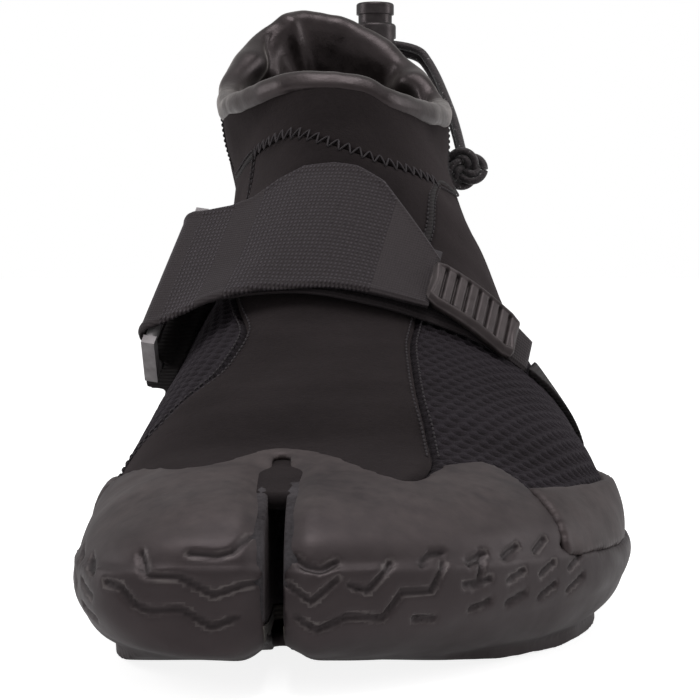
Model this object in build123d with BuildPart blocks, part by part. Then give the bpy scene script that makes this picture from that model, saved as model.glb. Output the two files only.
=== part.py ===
"""A left split-toe reef boot: rubber sole unit, neoprene upper, instep strap and collar drawcord.

Millimetres. The toe points to -Y, the big toe is on the -X side, and Z = 0 is the floor.
The origin is on the floor below the middle of the boot.

The foot is described by sections. Forefoot sections stand upright. From the instep on they fan about
a line parallel to X in front of the shin, until they lie flat at the collar.
"""

import os
from math import cos, sin, radians, copysign, tan

from build123d import *

os.makedirs("parts", exist_ok=True)

# ---------------------------------------------------------------- driving dimensions
FAN_Y, FAN_Z = -60.0, 140.0      # the line that the rear sections fan about
NEOPRENE = 3.0                   # upper thickness
RUBBER = 1.5                     # toe cap, rands and heel counter
FOXING = 2.5                     # outsole wall, beside the upper
BOARD = 2.5                      # insole board
FOOTBED = 3.5                    # foam footbed
CLEFT_X = -15.0                  # the split between the big toe and the others
CLEFT_ROOT_Y = -99.0             # how far back the split reaches
CLEFT_WIDTH = 3.2
SEAM_TOP = 54.0                  # fan angle of the seam between vamp and cuff
CUFF_REACH = 113.0               # distance from the fan line to the cuff's side edges
BACK_SEAM_X = -4.0
VAMP_LEFT, VAMP_RIGHT = -36.0, 13.0
COLLAR_ROLL = 8.0                # height of the rolled collar
STRAP_THICK = 1.6
CORD = 2.4                       # elastic cord diameter

# Upright sections: (Y, top Z, sole Z, Z of the widest line, inner X, outer X, crown X,
# roundness of the inner top, outer top and bottom; 2 is an ellipse, more is squarer).
UPRIGHT = [
    (-140.5, 23.0, 11.0, 17.0, -34.0, -16.0, -25.0, 2.0, 2.0, 2.0),
    (-137.5, 26.5, 9.5, 17.5, -40.5, -4.0, -23.0, 2.2, 2.0, 2.4),
    (-130.0, 30.0, 8.0, 17.5, -45.0, 12.5, -18.0, 2.4, 2.0, 2.7),
    (-118.0, 32.5, 6.5, 17.5, -48.0, 27.5, -14.0, 2.6, 2.1, 3.0),
    (-103.0, 34.0, 5.5, 17.5, -49.8, 39.5, -11.0, 2.6, 2.2, 3.4),
    (-86.0, 37.0, 5.0, 17.5, -50.3, 46.8, -10.0, 2.6, 2.3, 3.8),
    (-70.0, 43.5, 5.0, 17.5, -50.0, 49.8, -9.0, 2.6, 2.4, 4.0),
]
# Fanned sections: (angle from upright in degrees, then the same, with distances from the fan line).
FANNED = [
    (4.0, 90.5, 135.5, 123.0, -49.3, 50.6, -8.5, 2.6, 2.4, 4.0),
    (14.0, 87.0, 139.5, 126.0, -48.2, 51.0, -8.0, 2.6, 2.2, 4.0),
    (24.0, 85.5, 148.0, 134.0, -47.0, 51.0, -8.0, 2.5, 2.1, 4.0),
    (34.0, 83.5, 163.0, 146.0, -45.0, 49.0, -8.0, 2.4, 2.0, 3.8),
    (44.0, 82.5, 188.0, 160.0, -42.0, 45.0, -7.5, 2.2, 2.0, 3.2),
    (50.0, 82.5, 211.0, 165.0, -39.8, 41.2, -7.0, 2.2, 2.1, 2.8),
    (55.0, 82.8, 229.0, 167.5, -38.2, 38.3, -7.0, 2.2, 2.1, 2.7),
    (60.0, 84.1, 231.5, 167.5, -36.4, 34.0, -7.0, 2.2, 2.1, 2.5),
    (65.0, 86.0, 221.0, 162.5, -34.5, 29.0, -6.5, 2.3, 2.2, 2.3),
    (70.0, 88.0, 208.0, 156.0, -33.5, 24.5, -6.5, 2.4, 2.3, 2.2),
    (75.0, 90.7, 195.5, 149.3, -36.2, 24.1, -6.9, 2.5, 2.4, 2.2),
    (80.0, 94.2, 186.5, 144.6, -37.6, 24.0, -7.0, 2.5, 2.4, 2.2),
    (85.0, 98.5, 181.0, 142.0, -38.0, 24.0, -7.0, 2.5, 2.4, 2.2),
    (90.0, 103.2, 178.0, 141.5, -38.0, 24.0, -7.0, 2.5, 2.4, 2.2),
    (95.0, 108.0, 176.0, 142.0, -38.0, 24.0, -7.0, 2.5, 2.4, 2.2),
]
TOE_Y, TOE_BLEND_Y = UPRIGHT[0][0], UPRIGHT[3][0]
HALF_POINTS = 10

# Side-view curves, (Y, Z) from toe to heel.
COLLAR_EDGE = [(15, 122), (26.5, 115.5), (38, 110.5), (50, 109.5), (62, 112.5), (80, 122), (100, 134.5),
               (117, 143.5), (135, 150)]
OUTSOLE_EDGE = [(-160, 24), (-140, 22), (-110, 19.5), (-80, 17.5), (-30, 14.5), (40, 13.5), (100, 16), (160, 20)]
BOARD_LINE = [(-160, 16), (-137, 12), (-118, 9.2), (-100, 8), (-80, 7.5), (-40, 7.5), (20, 7.5), (80, 7.5), (160, 7.5)]
RAND_EDGE = [(-160, 40), (-112, 31), (-88, 28.5), (-60, 27), (-20, 24), (40, 21), (90, 22), (160, 24)]
COUNTER_EDGE = [(60, 16), (84, 24), (100, 42), (118, 54), (135, 58), (160, 60)]

TREAD_LINE = [(-170, 20), (-140, 9.5), (-120, 4.8), (-105, 1.8), (-90, 0), (-72, -1), (-20, -1), (60, -1),
              (112, -1), (127, 1), (142, 6), (170, 14)]
TREAD_TOP = 14.0

# The tread's plan outline, (X, Y) round from the big toe.
TREAD_PLAN = [(-27, -134), (-40, -120), (-45.5, -100), (-46, -80), (-44, -50), (-40, -15), (-36.5, 25), (-33, 65),
              (-28, 98), (-19, 121), (-3, 129), (13, 122), (23, 98), (31, 65), (38, 25), (43, -15), (46, -50),
              (44, -78), (35, -98), (20, -114), (0, -126)]

# The toe cap's scalloped back edge in plan view, (X, Y) from the inner side to the outer.
CAP_EDGE = [(-70, -76), (-52, -81), (-43, -89), (-37, -96), (-31, -101), (-25, -98), (-16, -92), (-8, -95),
            (1, -107), (7, -112), (12, -105), (18, -94), (23, -91.5), (29, -97), (34, -105), (38, -114), (40, -122)]

# The strap's own frame: X across the foot, Y away from the instep, Z down along the strap's width.
ACROSS, ALONG = (0.978, -0.157, -0.139), (0.209, 0.730, 0.650)
STRAP_SIDE = Plane(origin=(0, 0, 0), x_dir=ACROSS, z_dir=tuple(-value for value in ALONG))
STRAP_TOP = Plane(origin=(0, 0, 0), x_dir=ACROSS, z_dir=STRAP_SIDE.y_dir)
FOLD_NEAR, FOLD_FAR = 9.7, 50.8          # the strap's edges at the fold, along its width
LOWER_LINE = [(-45.2, 56.6), (-36, 60.6), (-26, 64.2), (-16, 66.2), (-4, 65.7), (4, 64.6), (10, 63.1),
              (20, 59.9), (28, 55.6), (33, 51.6)]
FLAP_LINE = [(-50, 58.2), (-44, 60), (-36, 62.9), (-26, 66.4), (-16, 68.4), (-4, 68), (4, 67), (10.2, 65.6)]
TAB_LINE = [(10.8, 67.2), (20, 64), (31, 57.4)]
FLAP_PLAN = [(-56, FOLD_NEAR), (-50, FOLD_NEAR), (-38, 12.5), (-14, 20), (10.2, 27), (10.2, 39.5),
             (-9, 59.5), (-16, 61), (-38, 54), (-50, FOLD_FAR), (-56, FOLD_FAR)]
TAB_PLAN = [(10.8, 27), (31, 22), (31, 34.5), (10.8, 39.5)]
STRAP_BAR = (-50.0, 54.6)                # the ring's outer bar, which the strap folds round
ANCHOR_BAR = (-49.8, 45.2)               # the ring's inner bar, held by the anchor loop
BAR_RADIUS = 1.4
BAR_PLAY = 0.3
RING_NEAR, RING_FAR = 8.0, 52.5          # middle of the ring's two limbs, along the strap's width

# The drawcord's free strands: out of the collar, through the lock and down to the knot.
STRAND_ROUTE = [(-19.5, 120.5, 134), (-11, 129.5, 135), (17, 129.5, 135), (22, 125, 127.7),
                (25.5, 115.5, 118), (28, 107, 109.5), (29.3, 99.8, 101.8)]
STRAND_OFFSET = (0, 2, -2)               # from the first strand to the second
KNOT_CENTRE, KNOT_RADIUS = (30, 97.5, 96.5), 6.0
LOCK_X, LOCK_Y = 5.0, 130.5
LOCK_LOW, LOCK_HIGH = 123.5, 140.9
LOCK_RADIUS, PLUNGER_RADIUS, HEAD_RADIUS = 6.2, 5.0, 5.6
LOCK_TRAVEL = 2.5


# ---------------------------------------------------------------- the last
def half_section(row, side, under, upper):
    """Points of a section's top or bottom half, as (x, distance from the fan line), from the outer side."""
    top, sole, middle, inner, outer, crown, round_inner, round_outer, round_low = row
    points = []
    for step in range(HALF_POINTS + 1):
        turn = radians(180 * step / HALF_POINTS)
        across, up = cos(turn), sin(turn)
        width = (crown - inner if across < 0 else outer - crown) + side
        if upper:
            height = top - middle - side
            roundness = round_inner if across < 0 else round_outer
        else:
            height = sole - middle + under
            roundness = round_low
        x = crown + copysign(width * abs(across) ** (2 / roundness), across)
        points.append((x, middle + height * abs(up) ** (2 / roundness)))
    return points


def section_face(plane, row, side, under):
    """One closed section of the foot, level at its widest line."""
    with BuildSketch(plane) as section:
        with BuildLine():
            Spline(*half_section(row, side, under, True))
            Spline(*half_section(row, side, under, False))
        make_face()
    return section.sketch


def foot_form(side, under, first_angle=None):
    """The foot as one solid, grown by side at the walls and by under below the sole."""
    sections = []
    if first_angle is None:
        for y, top, sole, middle, *rest in UPRIGHT:
            shift = side * min(max((y - TOE_BLEND_Y) / (TOE_Y - TOE_BLEND_Y), 0), 1)
            plane = Plane(origin=(0, y - shift, FAN_Z), x_dir=(1, 0, 0), z_dir=(0, 1, 0))
            row = (FAN_Z - top, FAN_Z - sole, FAN_Z - middle, *rest)
            sections.append(section_face(plane, row, side, under))
    for angle, *row in FANNED:
        if first_angle is not None and angle < first_angle:
            continue
        turn = radians(angle)
        plane = Plane(origin=(0, FAN_Y, FAN_Z), x_dir=(1, 0, 0), z_dir=(0, cos(turn), sin(turn)))
        sections.append(section_face(plane, row, side, under))
    with BuildPart() as form:
        loft(sections=sections)
    return form.part


def below_curve(curve, drop=0.0):
    """Everything lower than a side-view curve, lowered by drop."""
    points = [(y, z - drop) for y, z in curve]
    with BuildPart() as region:
        with BuildSketch(Plane.YZ.offset(-90)):
            with BuildLine():
                edge = Spline(*points)
                Polyline(edge @ 1, (260, points[-1][1]), (260, -40), (-260, -40),
                         (-260, points[0][1]), edge @ 0)
            make_face()
        extrude(amount=180)
    return region.part


def fan_sector(first_angle, near, far):
    """The part of the fan behind first_angle, between two distances from the fan line."""
    last_angle = 110
    with BuildPart() as sector:
        with BuildSketch(Plane.YZ.offset(-90)):
            with BuildLine():
                outer = CenterArc((FAN_Y, FAN_Z), far, first_angle - 90, last_angle - first_angle)
                inner = CenterArc((FAN_Y, FAN_Z), near, first_angle - 90, last_angle - first_angle)
                Line(inner @ 0, outer @ 0)
                Line(inner @ 1, outer @ 1)
            make_face()
        extrude(amount=180)
    return sector.part


def cleft_wedge(width, root_y):
    """The cut between the toes: a slot with a round root."""
    half = width / 2
    with BuildPart() as wedge:
        with BuildSketch(Plane.XY.offset(-10)):
            with Locations((CLEFT_X, root_y + half)):
                Circle(half)
            with Locations((CLEFT_X, root_y / 2 - 80)):
                Rectangle(width, 160 + root_y + width)
        extrude(amount=60)
    return wedge.part


def strap_band(line, thick, near, far):
    """A band whose upper side follows a line across the foot, from near to far along its width."""
    under = [(x, y - thick) for x, y in line]
    with BuildPart() as band:
        with BuildSketch(STRAP_SIDE.offset(-near)):
            with BuildLine():
                top = Spline(*line)
                bottom = Spline(*under)
                Line(top @ 0, bottom @ 0)
                Line(top @ 1, bottom @ 1)
            make_face()
        extrude(amount=near - far)
    return band.part


def strap_cutter(plan, corner=0):
    """A prism through the strap with the given plan, seen square to the instep."""
    with BuildPart() as cutter:
        with BuildSketch(STRAP_TOP):
            with BuildLine():
                Polyline(*plan, close=True)
            make_face()
            if corner:
                fillet(vertices(), corner)
        extrude(amount=100)
    return cutter.part


def strap_tube(centre, outer, inner, near, far):
    """A tube along the strap's width."""
    with BuildPart() as tube:
        with BuildSketch(STRAP_SIDE.offset(-near)):
            with Locations(centre):
                Circle(outer)
                if inner:
                    Circle(inner, mode=Mode.SUBTRACT)
        extrude(amount=near - far)
    return tube.part


def strap_block(low, high, near, far):
    """A box in the strap's frame: low and high are corners in its side view."""
    with BuildPart() as box:
        with BuildSketch(STRAP_SIDE.offset(-near)):
            with Locations(((low[0] + high[0]) / 2, (low[1] + high[1]) / 2)):
                Rectangle(high[0] - low[0], high[1] - low[1])
        extrude(amount=near - far)
    return box.part


def block(low, high):
    """A box between two corners."""
    with BuildPart(Plane(origin=low)) as box:
        Box(*(top - bottom for bottom, top in zip(low, high)), align=(Align.MIN, Align.MIN, Align.MIN))
    return box.part


def shared(first, *others):
    """What all the given solids have in common."""
    with BuildPart() as common:
        add(first)
        for other in others:
            add(other, mode=Mode.INTERSECT)
    return common.part


def without(first, *others):
    """The first solid less all the others."""
    with BuildPart() as rest:
        add(first)
        for other in others:
            add(other, mode=Mode.SUBTRACT)
    return rest.part


def save(piece, label):
    piece.label = label
    export_step(piece, f"parts/{label}.step")


# ---------------------------------------------------------------- shared solids
upper_form = foot_form(0, 0)
foot_form_inside = foot_form(-NEOPRENE, -BOARD)
rubber_form = foot_form(RUBBER, RUBBER)
foxing_form = foot_form(FOXING, FOXING)

cleft = cleft_wedge(CLEFT_WIDTH, CLEFT_ROOT_Y)
gusset_zone = cleft_wedge(CLEFT_WIDTH + 2 * NEOPRENE, CLEFT_ROOT_Y)
foot_space = without(foot_form_inside, gusset_zone)
upper_shell = without(shared(upper_form, below_curve(COLLAR_EDGE, COLLAR_ROLL)), foot_space, cleft)
rubber_skin = without(rubber_form, upper_form, cleft)

below_outsole_edge = below_curve(OUTSOLE_EDGE)
below_board = below_curve(BOARD_LINE)
ankle_zone = fan_sector(SEAM_TOP, 40, 300)
with BuildPart() as cap_zone:
    with BuildSketch(Plane.XY.offset(-10)):
        with BuildLine():
            scallop = Spline(*CAP_EDGE)
            Polyline(scallop @ 1, (40, -200), (-70, -200), scallop @ 0)
        make_face()
    extrude(amount=80)

# ---------------------------------------------------------------- sole unit
with BuildPart() as tread_block:
    with BuildSketch():
        with BuildLine():
            Spline(*TREAD_PLAN, periodic=True)
        make_face()
    extrude(amount=TREAD_TOP)
    add(below_curve(TREAD_LINE), mode=Mode.SUBTRACT)

with BuildPart() as outsole:
    add(foxing_form)
    add(tread_block.part)
    add(upper_form, mode=Mode.SUBTRACT)
    add(cleft, mode=Mode.SUBTRACT)
    add(below_outsole_edge, mode=Mode.INTERSECT)
save(outsole.part, "outsole")

insole_board = shared(upper_shell, below_board)
save(insole_board, "insole_board")

with BuildPart() as footbed:
    add(foot_space)
    add(below_curve(BOARD_LINE, -FOOTBED), mode=Mode.INTERSECT)
save(footbed.part, "footbed")

# ---------------------------------------------------------------- rubber on the upper
above_outsole = without(rubber_skin, below_outsole_edge)
toe_cap = shared(above_outsole, cap_zone.part)
save(toe_cap, "toe_cap")

rand_band = without(shared(above_outsole, below_curve(RAND_EDGE)), cap_zone.part, below_curve(COUNTER_EDGE))
save(shared(rand_band, block((0, -150, 0), (90, 84, 60))), "lateral_rand")
save(shared(rand_band, block((-90, -150, 0), (0, 84, 60))), "medial_rand")
heel_counter = shared(above_outsole, below_curve(COUNTER_EDGE), block((-90, 60, 0), (90, 200, 90)))
save(heel_counter, "heel_counter")

# ---------------------------------------------------------------- neoprene upper
upper_panels = without(upper_shell, below_board)
save(shared(upper_panels, gusset_zone), "toe_gusset")

forefoot = without(upper_panels, gusset_zone, ankle_zone)
save(shared(forefoot, block((VAMP_LEFT, -200, 0), (VAMP_RIGHT, 200, 160))), "vamp")
save(shared(forefoot, block((-90, -200, 0), (VAMP_LEFT, 200, 160))), "medial_mesh")
save(shared(forefoot, block((VAMP_RIGHT, -200, 0), (90, 200, 160))), "lateral_mesh")

cuff_zone = fan_sector(SEAM_TOP, 40, CUFF_REACH)
save(shared(upper_panels, cuff_zone), "front_cuff")
ankle_panels = without(shared(upper_panels, ankle_zone), cuff_zone)
save(shared(ankle_panels, block((-90, -200, 0), (BACK_SEAM_X, 200, 200))), "medial_ankle_panel")
save(shared(ankle_panels, block((BACK_SEAM_X, -200, 0), (90, 200, 200))), "lateral_ankle_panel")

edge_tape = shared(rubber_skin, fan_sector(SEAM_TOP, CUFF_REACH - 1.5, CUFF_REACH + 1.5),
                   below_curve(COLLAR_EDGE, COLLAR_ROLL))
save(shared(edge_tape, block((-90, -200, 40), (-5, 200, 200))), "medial_cuff_binding")
save(shared(edge_tape, block((-5, -200, 40), (90, 200, 200))), "lateral_cuff_binding")

heel_tape = without(shared(rubber_skin, block((BACK_SEAM_X - 4, 80, 40), (BACK_SEAM_X + 4, 200, 200)),
                           below_curve(COLLAR_EDGE, COLLAR_ROLL)), below_curve(COUNTER_EDGE))
save(heel_tape, "heel_seam_tape")

# ---------------------------------------------------------------- collar and drawcord
COLLAR_PROUD, COLLAR_INNER = 1.2, 4.2    # the roll stands out past the upper and in past it
CORD_DEPTH = 0.3                         # from the upper's outer face in to the drawcord
COLLAR_FIRST = 58                        # the fan angle where the collar's forms start


def collar_wall(outer, inner):
    """The band of the upper part of the foot between two offsets from the upper's outer face."""
    return without(foot_form(outer, outer, COLLAR_FIRST), foot_form(inner, inner, COLLAR_FIRST))


collar_band = without(below_curve(COLLAR_EDGE), below_curve(COLLAR_EDGE, COLLAR_ROLL))
tunnel_band = without(below_curve(COLLAR_EDGE, 3), below_curve(COLLAR_EDGE, 3 + CORD))
drawcord = shared(collar_wall(-CORD_DEPTH, -CORD_DEPTH - CORD), tunnel_band)
save(drawcord, "collar_drawcord")
collar_roll = without(shared(collar_wall(COLLAR_PROUD, -COLLAR_INNER), collar_band), drawcord)
save(collar_roll, "collar_binding")

# ---------------------------------------------------------------- instep strap
SLEEVE_INNER = BAR_RADIUS + BAR_PLAY
with BuildPart() as strap_flap:
    add(strap_band(FLAP_LINE, STRAP_THICK, 5, 65))
    add(strap_cutter(FLAP_PLAN), mode=Mode.INTERSECT)
    add(strap_tube(STRAP_BAR, SLEEVE_INNER + 1.9, 0, FOLD_NEAR, FOLD_FAR))
    add(strap_tube(STRAP_BAR, SLEEVE_INNER, 0, FOLD_NEAR, FOLD_FAR), mode=Mode.SUBTRACT)
save(strap_flap.part, "strap_flap")

strap_lower = without(strap_band(LOWER_LINE, 1.4, 20, 45), upper_form)
save(strap_lower, "strap_lower")
hook_line = [(x, y + 0.35) for x, y in LOWER_LINE[1:7]]
save(without(strap_band(hook_line, 0.8, 23, 42), strap_lower), "hook_patch")

with BuildPart() as pull_tab:
    add(strap_band(TAB_LINE, 3.2, 15, 45))
    add(strap_cutter(TAB_PLAN, corner=2.5), mode=Mode.INTERSECT)
    for rib in range(6):
        start = 14.0 + 2.7 * rib
        groove = [(start, 29.6 - 0.25 * (start - 10.8)), (start + 1.0, 29.4 - 0.25 * (start - 10.8)),
                  (start + 1.0, 36.7 - 0.25 * (start - 10.8)), (start, 36.9 - 0.25 * (start - 10.8))]
        with BuildSketch(STRAP_TOP.offset(68 - 0.028 * (start - 4) ** 2 - 1.6)):
            with BuildLine():
                Polyline(*groove, close=True)
            make_face()
        extrude(amount=10, mode=Mode.SUBTRACT)
save(pull_tab.part, "pull_tab")

with BuildPart() as strap_ring:
    for centre in (STRAP_BAR, ANCHOR_BAR):
        add(strap_tube(centre, BAR_RADIUS, 0, RING_NEAR, RING_FAR))
    for middle in (RING_NEAR, RING_FAR):
        low = (STRAP_BAR[0] - BAR_RADIUS, ANCHOR_BAR[1] - BAR_RADIUS)
        high = (ANCHOR_BAR[0] + BAR_RADIUS, STRAP_BAR[1] + BAR_RADIUS)
        add(strap_block(low, high, middle - 1.2, middle + 1.2))
save(strap_ring.part, "strap_ring")

with BuildPart() as ring_anchor:
    add(strap_tube(ANCHOR_BAR, SLEEVE_INNER + 1.4, 0, 11, 49.5))
    add(strap_block((-52.9, 37), (-44, 45), 11, 49.5))
    add(upper_form, mode=Mode.SUBTRACT)
    add(strap_tube(ANCHOR_BAR, SLEEVE_INNER, 0, 11, 49.5), mode=Mode.SUBTRACT)
    add(shared(rubber_skin, strap_block((-56, 26), (-40, 40), 11, 49.5)))
save(ring_anchor.part, "ring_anchor")

save(shared(rubber_skin, strap_block((33.6, 30), (50, 60), 19, 36)), "strap_anchor_patch")

# ---------------------------------------------------------------- cord lock
LOCK_FLOOR = 1.2
SLOT_LOW, SLOT_HIGH = 131.4, 136.6       # the cord hole through the barrel
CORD_HOLE = 5.4
with BuildPart() as lock_barrel:
    with Locations((LOCK_X, LOCK_Y, LOCK_LOW)):
        Cylinder(LOCK_RADIUS, LOCK_HIGH - LOCK_LOW, align=(Align.CENTER, Align.CENTER, Align.MIN))
    fillet(edges().filter_by(GeomType.CIRCLE), 1.0)
    with Locations((LOCK_X, LOCK_Y, LOCK_LOW + LOCK_FLOOR)):
        Cylinder(PLUNGER_RADIUS + 0.1, 30, align=(Align.CENTER, Align.CENTER, Align.MIN), mode=Mode.SUBTRACT)
    with Locations((LOCK_X, LOCK_Y, (SLOT_LOW + SLOT_HIGH) / 2)):
        Box(30, CORD_HOLE, SLOT_HIGH - SLOT_LOW, mode=Mode.SUBTRACT)
save(lock_barrel.part, "lock_barrel")

HEAD_LOW, HEAD_HIGH = LOCK_HIGH + LOCK_TRAVEL + 0.2, 147.0
PLUNGER_LOW = 129.4
with BuildPart() as lock_button:
    with Locations((LOCK_X, LOCK_Y, PLUNGER_LOW)):
        Cylinder(PLUNGER_RADIUS, HEAD_LOW - PLUNGER_LOW, align=(Align.CENTER, Align.CENTER, Align.MIN))
    with Locations((LOCK_X, LOCK_Y, HEAD_LOW)):
        Cylinder(HEAD_RADIUS, HEAD_HIGH - HEAD_LOW, align=(Align.CENTER, Align.CENTER, Align.MIN))
    fillet(edges().filter_by(GeomType.CIRCLE).sort_by(Axis.Z)[-1], 0.8)
    with Locations((LOCK_X, LOCK_Y, SLOT_LOW)):
        Box(30, CORD_HOLE, SLOT_HIGH - SLOT_LOW + LOCK_TRAVEL, mode=Mode.SUBTRACT,
            align=(Align.CENTER, Align.CENTER, Align.MIN))
save(lock_button.part, "lock_button")

SPRING_LOW, SPRING_HIGH = LOCK_LOW + LOCK_FLOOR + 0.35, PLUNGER_LOW - 0.35
with BuildPart() as lock_spring:
    with BuildLine():
        coil = Helix(pitch=(SPRING_HIGH - SPRING_LOW) / 3, height=SPRING_HIGH - SPRING_LOW, radius=3.6,
                     center=(LOCK_X, LOCK_Y, SPRING_LOW))
    with BuildSketch(Plane(origin=coil @ 0, z_dir=coil % 0)):
        Circle(0.3)
    sweep(is_frenet=True)
save(lock_spring.part, "lock_spring")

# ---------------------------------------------------------------- free strands and knot
def corner_radii(route):
    """The largest arc that each corner of a route allows."""
    points = [Vector(*point) for point in route]
    radii = []
    for before, corner, after in zip(points, points[1:], points[2:]):
        run_in, run_out = corner - before, after - corner
        half_turn = radians(run_in.get_angle(run_out) / 2)
        radii.append(0.45 * min(run_in.length, run_out.length) / tan(half_turn))
    return radii


print("strand radii", [round(radius, 1) for radius in corner_radii(STRAND_ROUTE)])
for label, step in (("cord_strand_upper", 0), ("cord_strand_lower", 1)):
    route = [tuple(value + step * shift for value, shift in zip(point, STRAND_OFFSET)) for point in STRAND_ROUTE]
    with BuildPart() as strand:
        with BuildLine():
            centre_line = FilletPolyline(*route, radius=corner_radii(route))
        with BuildSketch(Plane(origin=centre_line @ 0, z_dir=centre_line % 0)):
            Circle(CORD / 2)
        sweep()
    print(label, "length", round(centre_line.length, 1), "volume ratio",
          round(strand.part.volume / (centre_line.length * 3.14159 * CORD ** 2 / 4), 3))
    save(strand.part, label)

with BuildPart() as cord_knot:
    with Locations(KNOT_CENTRE):
        Sphere(KNOT_RADIUS)
save(cord_knot.part, "cord_knot")

outlet_axis = Vector(*STRAND_ROUTE[1]) - Vector(*STRAND_ROUTE[0])
outlet_middle = Vector(*STRAND_ROUTE[0]) + Vector(*STRAND_OFFSET) / 2
with BuildPart() as cord_outlet:
    with BuildSketch(Plane(origin=outlet_middle, z_dir=outlet_axis)):
        Circle(4.2)
    extrude(amount=-6)
    add(upper_form, mode=Mode.SUBTRACT)
    add(foot_form(COLLAR_PROUD, COLLAR_PROUD, COLLAR_FIRST), mode=Mode.SUBTRACT)
save(cord_outlet.part, "cord_outlet")
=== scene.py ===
"""Looks of the left split-toe reef boot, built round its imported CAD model.

The foot's surface is the one that the CAD lofts: a point on it has a station u along the foot and an
angle round the section, 0 on the outer side, 90 on the crown, 180 on the inner side and 270 under the
sole. Tables are in millimetres and degrees, and meshes are made in metres.
"""

from math import cos, pi, radians, sin

import bmesh
import bpy
import numpy as np
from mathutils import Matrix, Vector


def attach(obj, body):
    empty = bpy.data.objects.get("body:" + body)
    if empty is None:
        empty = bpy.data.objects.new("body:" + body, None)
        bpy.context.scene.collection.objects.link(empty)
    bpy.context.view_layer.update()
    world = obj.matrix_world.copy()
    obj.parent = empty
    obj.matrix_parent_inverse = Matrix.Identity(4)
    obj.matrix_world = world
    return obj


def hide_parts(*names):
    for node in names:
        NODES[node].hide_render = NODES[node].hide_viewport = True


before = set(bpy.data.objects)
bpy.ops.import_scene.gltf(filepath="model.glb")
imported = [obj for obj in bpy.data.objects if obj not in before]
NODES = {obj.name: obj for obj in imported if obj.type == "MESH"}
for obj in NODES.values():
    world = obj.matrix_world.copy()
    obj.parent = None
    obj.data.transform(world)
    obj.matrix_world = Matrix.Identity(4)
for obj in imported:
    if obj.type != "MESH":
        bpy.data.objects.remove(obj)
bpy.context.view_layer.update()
MM = 0.001

# ---------------- the foot's surface
FAN_Y, FAN_Z = -60.0, 140.0
FAN_STEP = 1.5  # u per degree of fan angle; u = Y - FAN_Y on upright sections
# Each section has a place, then its top, sole and middle, then its inner side, outer side and crown line in
# X, then the roundness of its inner top, outer top and underside. An upright section's place is its Y, and
# its top, sole and middle are heights; a fanned section's place is its fan angle, and those three are
# distances from the fan's axis, which runs across the ankle at FAN_Y, FAN_Z.
UPRIGHT = [
    (-140.5, 23, 11, 17, -34, -16, -25, 2, 2, 2),
    (-137.5, 26.5, 9.5, 17.5, -40.5, -4, -23, 2.2, 2, 2.4),
    (-130, 30, 8, 17.5, -45, 12.5, -18, 2.4, 2, 2.7),
    (-118, 32.5, 6.5, 17.5, -48, 27.5, -14, 2.6, 2.1, 3),
    (-103, 34, 5.5, 17.5, -49.8, 39.5, -11, 2.6, 2.2, 3.4),
    (-86, 37, 5, 17.5, -50.3, 46.8, -10, 2.6, 2.3, 3.8),
    (-70, 43.5, 5, 17.5, -50, 49.8, -9, 2.6, 2.4, 4),
]
FANNED = [
    (4, 90.5, 135.5, 123, -49.3, 50.6, -8.5, 2.6, 2.4, 4),
    (14, 87, 139.5, 126, -48.2, 51, -8, 2.6, 2.2, 4),
    (24, 85.5, 148, 134, -47, 51, -8, 2.5, 2.1, 4),
    (34, 83.5, 163, 146, -45, 49, -8, 2.4, 2, 3.8),
    (44, 82.5, 188, 160, -42, 45, -7.5, 2.2, 2, 3.2),
    (50, 82.5, 211, 165, -39.8, 41.2, -7, 2.2, 2.1, 2.8),
    (55, 82.8, 229, 167.5, -38.2, 38.3, -7, 2.2, 2.1, 2.7),
    (60, 84.1, 231.5, 167.5, -36.4, 34, -7, 2.2, 2.1, 2.5),
    (65, 86, 221, 162.5, -34.5, 29, -6.5, 2.3, 2.2, 2.3),
    (70, 88, 208, 156, -33.5, 24.5, -6.5, 2.4, 2.3, 2.2),
    (75, 90.7, 195.5, 149.3, -36.2, 24.1, -6.9, 2.5, 2.4, 2.2),
    (80, 94.2, 186.5, 144.6, -37.6, 24, -7, 2.5, 2.4, 2.2),
    (85, 98.5, 181, 142, -38, 24, -7, 2.5, 2.4, 2.2),
    (90, 103.2, 178, 141.5, -38, 24, -7, 2.5, 2.4, 2.2),
    (95, 108, 176, 142, -38, 24, -7, 2.5, 2.4, 2.2),
]


def smooth_curve(places, values, wanted):
    """Values at the wanted places, on a smooth curve through the given ones."""
    places, values = np.asarray(places, float), np.asarray(values, float)
    wanted = np.asarray(wanted, float)
    steps = np.diff(places)
    slopes = np.diff(values, axis=0) / steps[:, None]
    weights = (steps[1:] / (steps[1:] + steps[:-1]))[:, None]
    ends = np.concatenate([slopes[:1], slopes[:-1] * weights + slopes[1:] * (1 - weights), slopes[-1:]])
    span = np.clip(np.searchsorted(places, wanted) - 1, 0, len(steps) - 1)
    gap = steps[span][..., None]
    t = (wanted - places[span])[..., None] / gap
    return ((2 * t**3 - 3 * t**2 + 1) * values[span] + (t**3 - 2 * t**2 + t) * gap * ends[span]
            + (3 * t**2 - 2 * t**3) * values[span + 1] + (t**3 - t**2) * gap * ends[span + 1])


STATIONS = [row[0] - FAN_Y for row in UPRIGHT] + [row[0] * FAN_STEP for row in FANNED]
SECTIONS = ([(FAN_Z - row[1], FAN_Z - row[2], FAN_Z - row[3], *row[4:]) for row in UPRIGHT]
            + [row[1:] for row in FANNED])


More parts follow.
